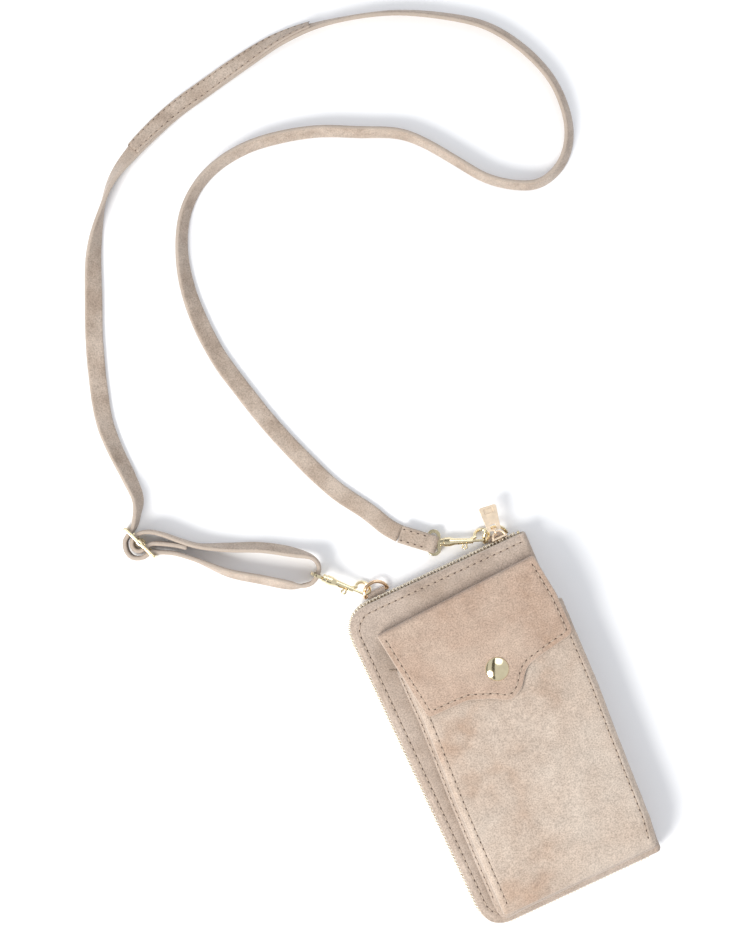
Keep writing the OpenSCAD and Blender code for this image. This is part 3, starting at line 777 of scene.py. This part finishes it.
def strap_fold():
    """The strap's end, turned back round the hook's eye and stitched to itself."""
    heading = np.array([math.cos(STRAP_FOLD_TURN), math.sin(STRAP_FOLD_TURN), 0])
    side = np.array([-heading[1], heading[0], 0])
    centre_s = -(STRAP_FOLD_MID_R + STRAP_FOLD_T / 2)
    low, high = STRAP_FOLD_MID_Z - STRAP_FOLD_MID_R, STRAP_FOLD_MID_Z + STRAP_FOLD_MID_R
    r = STRAP_FOLD_MID_R
    profile = [(s, low) for s in np.linspace(-STRAP_FOLD_L, centre_s, 14)]
    profile += [(centre_s + r * math.cos(t), STRAP_FOLD_MID_Z + r * math.sin(t))
                for t in np.linspace(-math.pi / 2, math.pi / 2, 14)[1:-1]]
    profile += [(s, high) for s in np.linspace(centre_s, -STRAP_FOLD_L, 14)]
    apex = np.array([*STRAP_FOLD_AT, 0])
    centre = np.array([apex + s * heading + np.array([0, 0, z]) for s, z in profile])
    centre[:14, 2] += 0.25 * np.sin(np.linspace(0, math.pi, 14))
    across = np.tile(side, (len(centre), 1))
    fold = band("strap_end", centre, across, STRAP_W, STRAP_FOLD_T, seed=5,
                nodes=("strap_end_fold",))
    top = high + STRAP_FOLD_T / 2
    rows = []
    for k, off in enumerate((-3.2, 3.2)):
        path = [apex + s * heading + side * off + np.array([0, 0, top]) for s in (-20.5, -8.5)]
        rows.append(sew("fold_stitches_%d" % k, path, (0, 0, 1), STITCH_PITCH, "back_half", 0.9,
                        20 + k, "strap_suede"))
    return fold, rows


# ---------------------------------------------------------------------------
# Covers, spine and zip
# ---------------------------------------------------------------------------
def zip_distance(x, y):
    """Distance inside the cover's zipped outline: left, top and bottom, with two round
    corners."""
    d = np.minimum(x + HALF_W, HALF_L - np.abs(y))
    cx, cy = -(HALF_W - COVER_R), HALF_L - COVER_R
    corner = (x < cx) & (np.abs(y) > cy)
    return np.where(corner, COVER_R - np.hypot(x - cx, np.abs(y) - cy), d)


def spine_x(y):
    """The spine leans, so the covers are narrower at the bottom."""
    return HALF_W - (HALF_L - y) * math.tan(SPINE_LEAN)


def on_spine(out, down):
    """A plan point from its place on the spine's line: out of it, and down from its top end."""
    c, s = math.cos(SPINE_LEAN), math.sin(SPINE_LEAN)
    return np.array([HALF_W + out * c - down * s, HALF_L - out * s - down * c])


def zip_path(inset, short=ZIP_SHORT):
    """The zipped outline drawn in by inset, from the top right round to the bottom right."""
    r = COVER_R - inset
    cx, cy = -(HALF_W - COVER_R), HALF_L - COVER_R
    turn = [(cx + r * math.cos(a), cy + r * math.sin(a))
            for a in np.linspace(math.pi / 2, math.pi, 24)]
    top = [(x, HALF_L - inset) for x in np.linspace(spine_x(HALF_L) - short, cx, 40)]
    side = [(-HALF_W + inset, y) for y in np.linspace(cy, -cy, 80)]
    bottom = [(x, inset - HALF_L) for x in np.linspace(cx, spine_x(-HALF_L) - short, 40)]
    return np.array(top + turn[1:] + side[1:] + [(x, -y) for x, y in turn[-2::-1]] + bottom[1:])


def cover_height(x, y, face, out):
    """Height of a cover's outer face; out is 1 for the front and -1 for the back."""
    d = zip_distance(x, y)
    roll = 1.25 * (1 - smoothstep(d / 3.6))
    groove = 0.3 * np.exp(-((d - STITCH_INSET) / 0.8) ** 2)
    soft = 0.16 * waves(11, 38, x, y) * smoothstep(d / 12)
    return face - out * (roll + groove + np.abs(soft) * (out < 0) - soft * (out > 0))


def cover_plan(inset, short, step=1.6):
    """A grid over a cover's plan, drawn in by inset at the zip and by short at the spine."""
    x, y, r = HALF_W - inset, HALF_L - inset, COVER_R - inset
    sides = rounded([(-x, -y, r), (spine_x(-y) - short, -y, 0.3), (spine_x(y) - short, y, 0.3),
                     (-x, y, r)], [0, 1, 2, 3])
    return coons(sides, spread(2 * x, step, 0.9), spread(2 * y, step, 0.9))


def covers():
    plan = cover_plan(0, SPINE_R)
    x, y = plan[..., 0], plan[..., 1]
    front = np.dstack([x, y, cover_height(x, y, FRONT_Z, 1)])
    back = np.dstack([x, y, cover_height(x, y, 0.02, -1)])[:, ::-1]
    seam = every(zip_path(STITCH_INSET, 5), 1.0)
    for name, grid, out, joined in (("front", front, 1, "right"), ("back", back, -1, "left")):
        body = name + "_half"
        sheet = slab(name + "_cover", grid, COVER_T, 0.9, COVER_SUEDE, body=body, slot="suede",
                     nodes=(name + "_panel",), open_sides=(joined,))
        sew(name + "_cover_stitches", laid_on(sheet, seam, out, THREAD_LIFT), (0, 0, out),
            STITCH_PITCH, body, STITCH_W, 31 + out)


def spine():
    """The spine strip and the two corners where it bends into the covers."""
    length = 2 * HALF_L / math.cos(SPINE_LEAN)
    downs = spread(length - 0.4, 2.2, 1.0) * (length - 0.4) + 0.2
    r = SPINE_R
    foot = 2.4

    def sheet(name, profile, **more):
        """A part of the spine; its bulge draws in over the foot at the bottom end."""
        left = np.clip(length - downs, 0, foot)
        reach = (r - foot + np.sqrt(foot ** 2 - (foot - left) ** 2)) / r
        grid = np.array([[(*on_spine(min(px, -r) + max(px + r, 0) * part, down), pz)
                          for px, pz in profile] for down, part in zip(downs, reach)])
        return slab(name, grid, 1.6, 0.8, COVER_SUEDE, open_sides=("left", "right"),
                    slot="suede", **more)

    def at(out, z):
        return (*(on_spine(out, length / 2) * MM), z * MM)

    sheet("spine_sheet", [(0, z) for z in np.linspace(r, FRONT_Z - r, 9)], body="spine",
          nodes=("spine_strip",))
    turn = np.linspace(0, math.pi / 2, 9)
    back = [(-r + r * math.sin(t), r - r * math.cos(t) + 0.02) for t in turn]
    corner = sheet("spine_corner_back", [(-r - 1.0, 0.02)] + back)
    at(-2.5, 0)
    at(0.5, 3)
    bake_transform(corner)
    front = [(-r + r * math.cos(t), FRONT_Z - r + r * math.sin(t)) for t in turn]
    corner = sheet("spine_corner_front", front + [(-r - 1.0, FRONT_Z)])
    at(0.5, 13)
    at(-2.5, 16)
    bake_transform(corner)


# ---------------------------------------------------------------------------
# Inside: linings, card slots and the slip pocket
# ---------------------------------------------------------------------------
def inner_layer(top):
    """A grid over a flat inner layer with a straight top edge."""
    left, low, right = INNER_GAP + 2 - HALF_W, INNER_GAP + 3.5 - HALF_L, INNER_GAP + 2
    sides = rounded([(left, low, 2.5), (spine_x(low) - right, low, 2.5),
                     (spine_x(top) - right, top, 0.8), (left, top, 0.8)], [0, 1, 2, 3])
    return coons(sides, spread(96, 3.0, 0.5, 3.0), spread(top - low, 3.0, 0.5, 3.0))


def inside():
    lining_low, lining_high = COVER_T + LINING_T, FRONT_Z - COVER_T - LINING_T
    linings = (("back", INNER_GAP, lining_low, 1), ("front", INNER_GAP + 0.4, lining_high, -1))
    for name, short, z, out in linings:
        plan = cover_plan(INNER_GAP, short, 4.0)
        if out < 0:
            plan = plan[:, ::-1]
        grid = np.dstack([plan, np.full(plan.shape[:2], z)])
        slab(name + "_lining_cloth", grid, LINING_T, 0.3, LINING, body=name + "_half",
             slot="lining", nodes=(name + "_lining",))
    layers = [("card_slot_%d" % (k + 1), 62 - SLOT_STEP * k,
               lining_low + SLOT_PITCH + SLOT_PITCH * k, 1) for k in range(4)]
    layers.append(("slip_pocket", 66, lining_high - 0.9, -1))
    for name, top, z, out in layers:
        plan = inner_layer(top)
        if out < 0:
            plan = plan[:, ::-1]
        body = "back_half" if out > 0 else "front_half"
        grid = np.dstack([plan, np.full(plan.shape[:2], z)])
        sheet = slab(name + "_leather", grid, SLOT_T, 0.3, SLOT_SUEDE, body=body,
                     slot="suede_inner", nodes=(name,))
        hem = [(x, top - 2.2) for x in np.linspace(-46.5, spine_x(top) - 9.5, 60)]
        sew(name + "_stitches", laid_on(sheet, hem, out, 0.02), (0, 0, out), 3.4, body, 0.5,
            60 + top, "suede_inner")
    length = 2 * HALF_L - 13
    grid = np.array([[(*on_spine(-1.6 - LINING_T, 6.5 + d), z) for z in np.linspace(13.2, 2.8, 9)]
                     for d in np.linspace(0, length, 60)])
    slab("spine_lining_cloth", grid, LINING_T, 0.3, LINING, body="spine", slot="lining",
         nodes=("spine_lining",))


def ring_tab(name, x_mid, width):
    """A leather loop round the straight side of a D-ring, with both ends under the cover's
    edge."""
    path = [(y, 3.2) for y in np.linspace(HALF_L - 5.5, HALF_L - 0.5, 5)]
    path += [(RING_Y - 1.6, 3.75)]
    path += [(RING_Y + TAB_R * math.sin(a), RING_Z + TAB_R * math.cos(a))
             for a in np.linspace(0, math.pi, 17)]
    path += [(RING_Y - 1.6, 1.0)]
    path += [(y, 1.82) for y in np.linspace(HALF_L + 0.1, HALF_L - 5.5, 6)]
    across = spread(width, 1.2, 0.5, 1.5) * width - width / 2
    grid = np.array([[(x_mid + a, y, z) for a in across] for y, z in path])
    slab(name + "_loop", grid, TAB_T, 0.45, COVER_SUEDE, body="back_half", slot="tab_suede",
         nodes=(name,))


def tooth():
    """One zip tooth: long outwards in x, with a waist behind its head."""
    outline = [(-2.2, 0.42), (0.6, 0.42), (0.95, 0.3), (1.25, 0.55), (1.75, 0.55), (2.05, 0.3)]
    ring = outline + [(a, -b) for a, b in outline[::-1]]
    layers = ((-0.62, 0.75), (-0.42, 1.0), (0.42, 1.0), (0.62, 0.75))
    points = [(a - 0.35, b * share, z) for z, share in layers for a, b in ring]
    return np.array(points), bar_faces(len(layers), len(ring))


def zip_round():
    """The teeth and tapes of the zip that runs round three sides."""
    path = zip_path(0.0, ZIP_SHORT + 0.6)
    total = length_of(path)
    shape, faces = tooth()
    places = np.arange(int(total / TOOTH_PITCH) - 1)
    for name, shift in (("back", 0.0), ("front", 0.5)):
        row = Batch()
        at = resample(path, (places + 0.5 + shift) * TOOTH_PITCH / total)
        near = resample(path, (places + 0.4 + shift) * TOOTH_PITCH / total)
        for p, q in zip(at, near):
            ahead = unit(p - q)
            out = (ahead[1], -ahead[0], 0)
            row.add(placed(shape, (p[0], p[1], TEETH_Z[name]), out, (0, 0, 1)), faces)
        row.piece(name + "_teeth", TEETH, name + "_half", slot="zip_metal",
                  nodes=(name + "_zip_teeth",))
    bulge = 0.35 * np.sin(np.linspace(0, math.pi, 7))
    for name, low, high in (("back", COVER_T, 6.9), ("front", 9.1, FRONT_Z - COVER_T)):
        rows = []
        for z, b in zip(np.linspace(low, high, 7), bulge):
            line = zip_path(TAPE_INSET - b)
            rows.append(np.column_stack([line, np.full(len(line), z)]))
        slab(name + "_tape", np.array(rows)[:, ::-1], TAPE_T, 0.3, TAPE, body=name + "_half",
             slot="zip_tape", nodes=(name + "_zip_tape",))


# ---------------------------------------------------------------------------
# Pocket, flap and snap
# ---------------------------------------------------------------------------
def drawn_in(path, d):
    """A path's points moved by d to its left, as seen along it."""
    ahead = directions(path)
    return path + np.column_stack([-ahead[:, 1], ahead[:, 0]]) * d


def from_path(x, y, path):
    """Distance of every point from a path of closely spaced points, worked out in batches."""
    flat = np.stack([np.ravel(x), np.ravel(y)], axis=1)
    d = np.full(len(flat), 1e9)
    for start in range(0, len(path), 60):
        part = path[start:start + 60]
        d = np.minimum(d, np.linalg.norm(flat[:, None] - part[None], axis=2).min(axis=1))
    return d.reshape(np.shape(x))


def pocket():
    sides = rounded(POCKET_OUTLINE, [0, 1, 5, 6])
    rim = np.concatenate([sides[3], sides[0], sides[1]])
    edge_line = every(rim, 0.8)
    seam = drawn_in(edge_line, POCKET_SEAM)

    def height(x, y):
        d = from_path(x, y, edge_line)
        roll = 1.7 * (1 - smoothstep(d / 3.4))
        groove = 0.3 * np.exp(-((d - POCKET_SEAM) / 0.9) ** 2)
        belly = 0.5 * smoothstep(d / 22) * smoothstep((50 - y) / 60)
        return (POCKET_Z - roll - groove + belly + 0.22 * waves(5, 46, x, y)
                + 0.1 * waves(6, 17, x, y))

    us, vs = spread(95, 1.5, 0.8), spread(147, 1.5, 0.8)
    plan = coons(sides, us, vs)
    grid = np.dstack([plan, height(plan[..., 0], plan[..., 1])])
    face = slab("pocket_face", grid, POCKET_T, 0.8, SUEDE, body="front_half", slot="suede",
                nodes=("pocket_front",))
    sewn = (seam[:, 1] < 53) & (seam[:, 1] > -85)
    for name, side in (("left", seam[:, 0] < 0), ("right", seam[:, 0] > 0)):
        sew("pocket_stitches_" + name, laid_on(face, seam[sewn & side], 1, THREAD_LIFT),
            (0, 0, 1), STITCH_PITCH, "front_half", STITCH_W, 41)
    gusset(every(rim, 2.2))


def gusset(route):
    """The folded side of the pocket, in one strip round left, bottom and right. It bulges most
    on the left, where its own seam shows."""
    at = np.linspace(0, length_of(route), len(route))
    corners = [0, 138, 156, 236, 254, length_of(route)]
    foot = np.interp(at, corners, [-0.9, -0.9, -0.9, -0.9, -2.6, -2.6])[:, None]
    bulge = np.interp(at, corners, [3.6, 4.2, 2.6, 2.4, 2.6, 2.6])[:, None]
    # Share of the bulge at each height
    profile = [(0.0, 16.1), (0.45, 17.1), (0.85, 18.5), (1.0, 19.25), (0.85, 20.0),
               (0.45, 21.2), (0.0, 22.4)]
    grid = np.array([[(*p, z) for p in drawn_in(route, -(foot + bulge * share))]
                     for share, z in profile])
    slab("pocket_gusset", grid, GUSSET_T, 0.4, COVER_SUEDE, body="front_half", slot="suede_inner",
         nodes=("pocket_gusset_left", "pocket_gusset_right", "pocket_gusset_bottom"))
    left = slice(2, int(np.searchsorted(at, 136)))
    seam = ((grid[4] + grid[5]) / 2)[left]
    up = unit((normals(grid)[4] + normals(grid)[5])[left])
    sew("gusset_stitches", seam + up * 0.12, up, STITCH_PITCH, "front_half", 0.7, 45,
        "suede_inner")
    for k, (x, y) in enumerate(((-44.6, 58.2), (52.2, 58.2))):
        tack = [(x, y, 16.1), (x + 3.4, y - 1.2, 16.1)]
        sew("bar_tack_%d" % k, tack, (0, 0, 1), 0.8, "front_half", 1.5, 47 + k)


def fold_distance(x, y):
    """Distance in front of the flap's fold line."""
    return (x - FOLD_AT[0]) * math.sin(FOLD_SLOPE) - (y - FOLD_AT[1]) * math.cos(FOLD_SLOPE)


def flap():
    sides = rounded(FLAP_OUTLINE, [0, 7, 9, 10])
    rim = np.concatenate([sides[3], sides[0], sides[1]])
    edge_line = every(rim, 0.8)
    seam = drawn_in(edge_line, FLAP_SEAM)

    def height(x, y):
        s = fold_distance(x, y)
        d = from_path(x, y, edge_line)
        left = FOLD_R - np.clip(s, 0, FOLD_R)
        arc = np.sqrt(np.clip(FOLD_R ** 2 - left ** 2, 0, None)) - FOLD_R
        ramp_z = (FLAP_Z - FOLD_Z) * smoothstep(s / RAMP_L)
        droop = 1.0 * (1 - smoothstep(d / 4.5)) * smoothstep(s / 30)
        groove = 0.28 * np.exp(-((d - FLAP_SEAM) / 0.8) ** 2) * smoothstep(s / 6)
        press = 0.2 * np.exp(-(np.hypot(x - SNAP[0], y - SNAP[1]) / 9) ** 4)
        return (FOLD_Z + arc + ramp_z - droop - groove - press
                + 0.25 * waves(15, 50, x, y) * smoothstep(s / 10))

    us, vs = spread(98, 1.4, 0.8), spread(55, 1.4, 0.8)
    plan = coons(sides, us, vs)
    front = np.dstack([plan, height(plan[..., 0], plan[..., 1])])
    down = [np.dstack([front[-1:, :, :2], np.full((1, front.shape[1]), z)])
            for z in np.linspace(FOLD_Z - FOLD_R, FRONT_Z, 7)[1:]]
    grid = np.concatenate([front] + down)
    sheet = slab("flap_sheet", grid, FLAP_T, 0.8, FLAP_SUEDE, open_sides=("top",), slot="suede",
                 nodes=("flap", "flap_riser"))
    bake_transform(sheet)
    under = np.dstack([plan, height(plan[..., 0], plan[..., 1]) - FLAP_T - 0.03])[5:-8, 5:-5]
    slab("flap_underside", under, 0.3, 0.25, LINING, body="flap_body", slot="lining",
         nodes=("flap_lining",))
    keep = seam[(fold_distance(seam[:, 0], seam[:, 1]) > 4)]
    sew("flap_stitches", laid_on(sheet, keep, 1, THREAD_LIFT), (0, 0, 1), STITCH_PITCH,
        "flap_body", STITCH_W, 51)


def snap():
    """The domed cap of the snap: part of a sphere on a rolled rim."""
    z = FLAP_Z - 0.3
    r, low = CAP_R / math.sin(CAP_ARC), math.cos(CAP_ARC)
    arc = [(r * math.sin(a), CAP_RISE * (math.cos(a) - low) / (1 - low) + 0.35)
           for a in np.linspace(CAP_ARC, 0.0, 14)]
    profile = [(0, -0.4), (5.6, -0.4), (6.35, -0.25), (6.55, 0.05)] + arc[:-1] + [(0, arc[-1][1])]
    points, faces = lathe(profile, 72)
    piece("snap_cap_dome", points + np.array([*SNAP, z]), faces, GOLD, body="flap_body",
          slot="light_gold", nodes=("snap_cap",))


# ---------------------------------------------------------------------------
# Springs, and the metal fittings that keep their CAD shape
# ---------------------------------------------------------------------------
def springs():
    """The coils behind the bolts."""
    for k, (place, pitch, heading) in enumerate(HOOKS, 1):
        p, h = math.radians(pitch), math.radians(heading)
        ahead = np.array([math.cos(p) * math.cos(h), math.cos(p) * math.sin(h), -math.sin(p)])
        side = np.array([-math.sin(h), math.cos(h), 0])
        up = np.cross(ahead, side)
        turn = np.linspace(0, 2 * math.pi * SPRING_COILS, 16 * SPRING_COILS + 1)
        along = np.linspace(SPRING_FROM, SPRING_TO, len(turn))
        path = (np.array(place) + along[:, None] * ahead + SPRING_R * np.cos(turn)[:, None] * side
                + SPRING_R * np.sin(turn)[:, None] * up)
        points, faces = tube(path, SPRING_WIRE_R, 8)
        name = "hook_%d_spring" % k
        coil = piece(name + "_coil", points, faces, STEEL, body="hook_%d" % k, slot="spring_steel",
                     nodes=(name,))
        anchor = (np.array(place) + SPRING_FROM * ahead) * MM
        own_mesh(coil)


def finish_nodes():
    """Plates the fittings."""
    gold = ["zip_stop_top", "zip_stop_bottom", "ring_right", "buckle_frame", "buckle_bar",
            "snap_stud", "snap_post", "snap_socket"]
    gold += ["hook_%d_%s" % (k, part) for k in (1, 2) for part in ("eye", "body", "bolt")]
    peach = ["zip_slider", "zip_bail", "pull_link", "pull_tab"]
    for look, names in ((GOLD, gold), (PEACH, peach), (ROSE, ["ring_left"])):
        for name in names:
            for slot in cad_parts[name].material_slots:
                slot.material = look


camera()
studio()
strap()
covers()
spine()
inside()
for tab, (x_mid, width) in RING_TABS.items():
    ring_tab(tab, x_mid, width)
zip_round()
pocket()
flap()
snap()
springs()
finish_nodes()

boxes = {"cad": CAD_BOX, "visual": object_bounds()}
{k: [[float(c) for c in corner] for corner in box] for k, box in boxes.items()}
